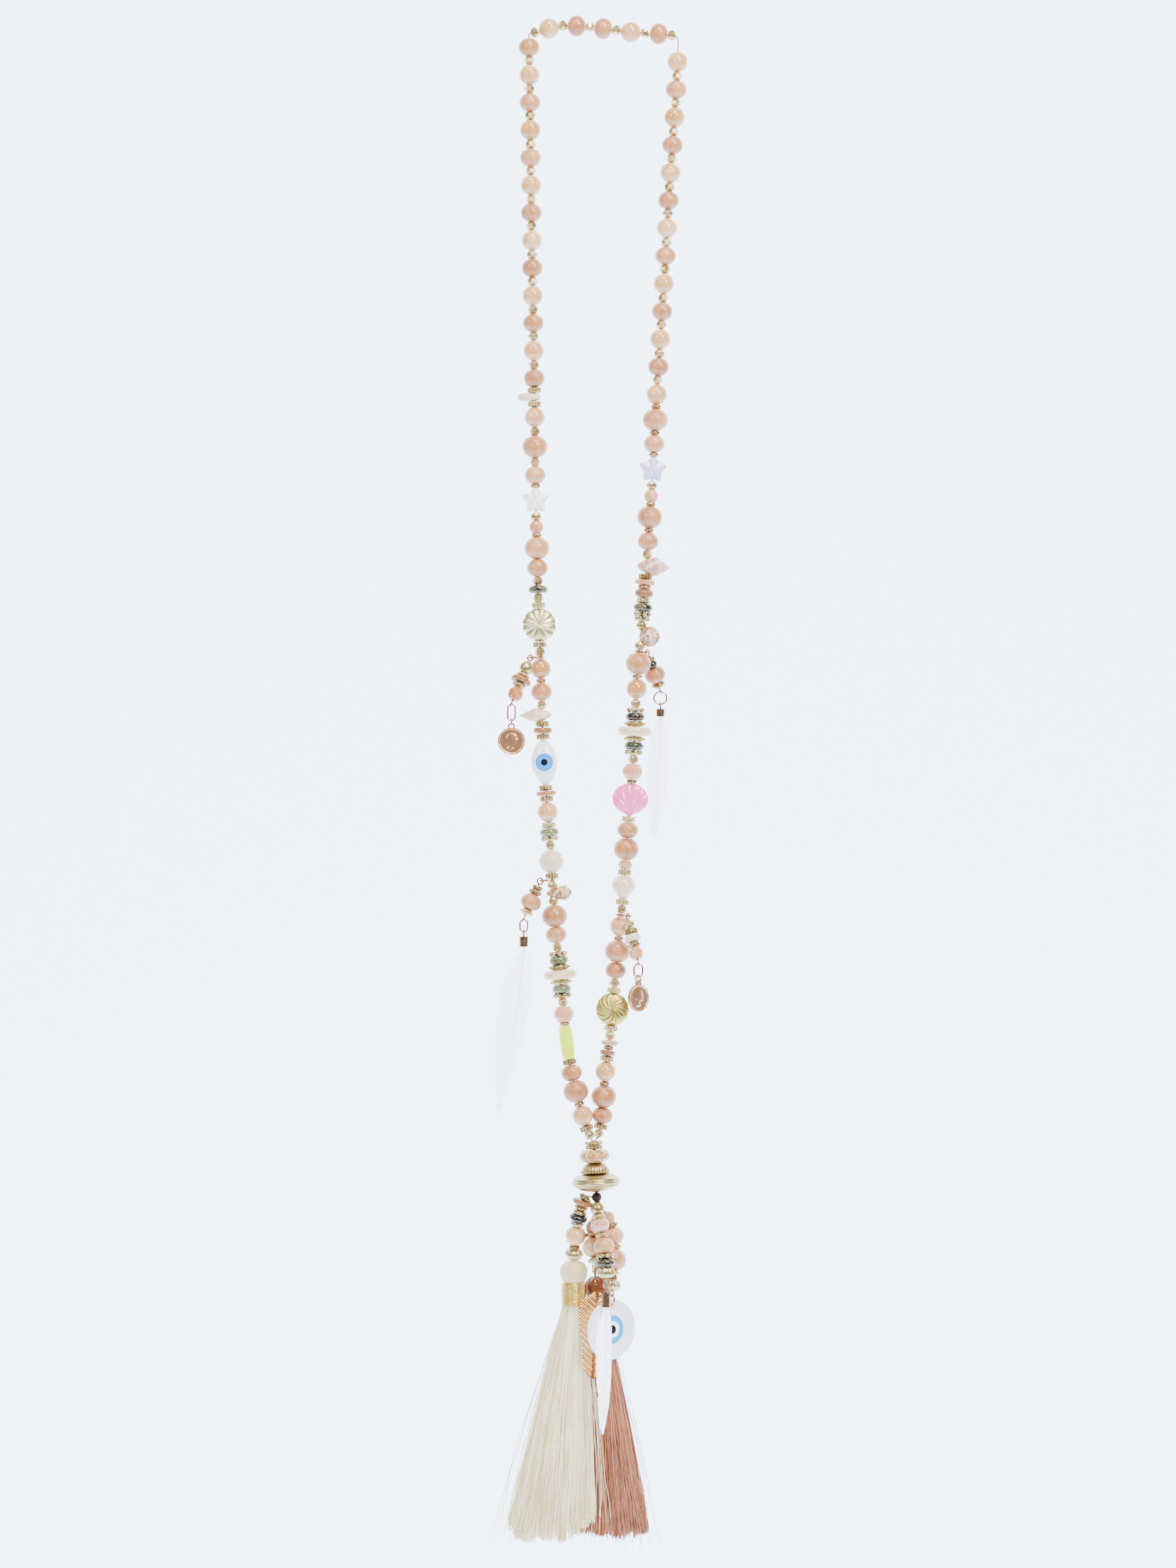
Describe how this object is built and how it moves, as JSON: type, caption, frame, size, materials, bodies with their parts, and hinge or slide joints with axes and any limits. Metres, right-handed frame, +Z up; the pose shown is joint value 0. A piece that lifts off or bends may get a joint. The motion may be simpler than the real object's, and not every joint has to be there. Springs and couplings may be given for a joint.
{
  "type": "tassel necklace",
  "caption": "Long beaded necklace with a join of gilt beads, a bunch of short strands with two tassels, a feather charm and an eye disc, and side drops with coins and feathers.",
  "frame": {"origin": "middle of the top run, where the necklace is hung up", "axes": "+X to the viewer's right, +Y away from the viewer, +Z up, as it hangs"},
  "size_m": [0.0756, 0.0357, 0.602],
  "materials": {
    "thread_beige": "twisted beading thread",
    "knot_brown": "brown, orange and yellow cord, knotted",
    "peach_wood": "satin turned wood, peach tan",
    "peach_jade": "polished translucent peach stone",
    "champagne_gilt": "champagne gilt, faceted",
    "pale_gilt": "pale gilt, granulated",
    "mixed_stone": "polished stones, green, peach and orange",
    "star_stone": "polished pale stone",
    "gold_shell": "bright gilt casting",
    "white_shell": "polished sea shell",
    "pearl_white": "crackled pearl coating",
    "eye_glass": "white glass with a blue eye",
    "brown_shell": "brown and white sea shell",
    "howlite": "cream stone with fine cracks",
    "neon_glass": "translucent neon yellow",
    "pink_shell": "polished pink sea shell",
    "cap_gilt": "ribbed gilt caps",
    "join_stone": "swirled cream and peach stone",
    "rose_gilt": "polished rose gilt",
    "cream_yarn": "cream silk strands",
    "peach_yarn": "copper and pink silk strands",
    "gold_thread": "metallic wound thread",
    "white_feather": "white goose feather",
    "leaf_gilt": "rose to pale gilt, ribbed",
    "mother_of_pearl": "polished shell with a painted eye",
    "bronze_crimp": "dark bronze sheet"
  },
  "bodies": {
    "necklace": {"thread": "thread_beige", "cluster_threads": "thread_beige", "knot": "knot_brown", "wood_beads_left": "peach_wood", "wood_beads_right": "peach_wood", "jade_beads_left": "peach_jade", "jade_beads_right": "peach_jade", "gold_beads_left": "champagne_gilt", "gold_beads_right": "champagne_gilt", "spacers_left": "pale_gilt", "spacers_right": "pale_gilt", "stones_left": "mixed_stone", "stones_right": "mixed_stone", "petal_left": "pink_shell", "star_left": "star_stone", "flower_bead": "gold_shell", "spiral_shell": "white_shell", "eye_bead": "eye_glass", "cotton_pearl": "pearl_white", "cone_shell": "brown_shell", "howlite_left": "howlite", "yellow_tube": "neon_glass", "star_right": "star_stone", "whelk_shell": "pink_shell", "ribbed_shell": "brown_shell", "howlite_right": "howlite", "scallop_bead": "pink_shell", "howlite_nugget": "howlite", "swirl_bead": "gold_shell", "join_spacer": "pale_gilt", "join_stone": "join_stone", "dome_cap": "cap_gilt", "saucer_bead": "cap_gilt", "cluster_wood": "peach_wood", "cluster_stones": "mixed_stone", "cluster_gold": "champagne_gilt", "cluster_rings": "rose_gilt", "cream_tassel": "cream_yarn", "cream_band": "gold_thread", "peach_tassel": "peach_yarn", "peach_band": "peach_yarn", "front_feather": "white_feather", "front_crimp": "bronze_crimp", "drop_pins": "rose_gilt", "drop_rings": "rose_gilt", "drop_wood": "peach_wood", "drop_stones": "mixed_stone", "drop_gold": "pale_gilt", "coin_left": "rose_gilt", "coin_right": "rose_gilt", "feather_left": "white_feather", "feather_right": "white_feather", "crimp_left": "bronze_crimp", "crimp_right": "bronze_crimp"},
    "leaf_pendant": {"leaf_charm": "leaf_gilt"},
    "eye_pendant": {"eye_disc": "mother_of_pearl"}
  },
  "joints": [
    {"name": "leaf_swing", "type": "hinge", "parent": "necklace", "child": "leaf_pendant", "pos_m": [-0.00369, 0.0004, -0.48999], "axis": [0, 1, 0], "range_deg": [-3, 15]},
    {"name": "eye_swing", "type": "hinge", "parent": "necklace", "child": "eye_pendant", "pos_m": [0.00261, -0.0024, -0.49819], "axis": [-0.6428, 0.766, 0], "range_deg": [-15, 15]}
  ]
}
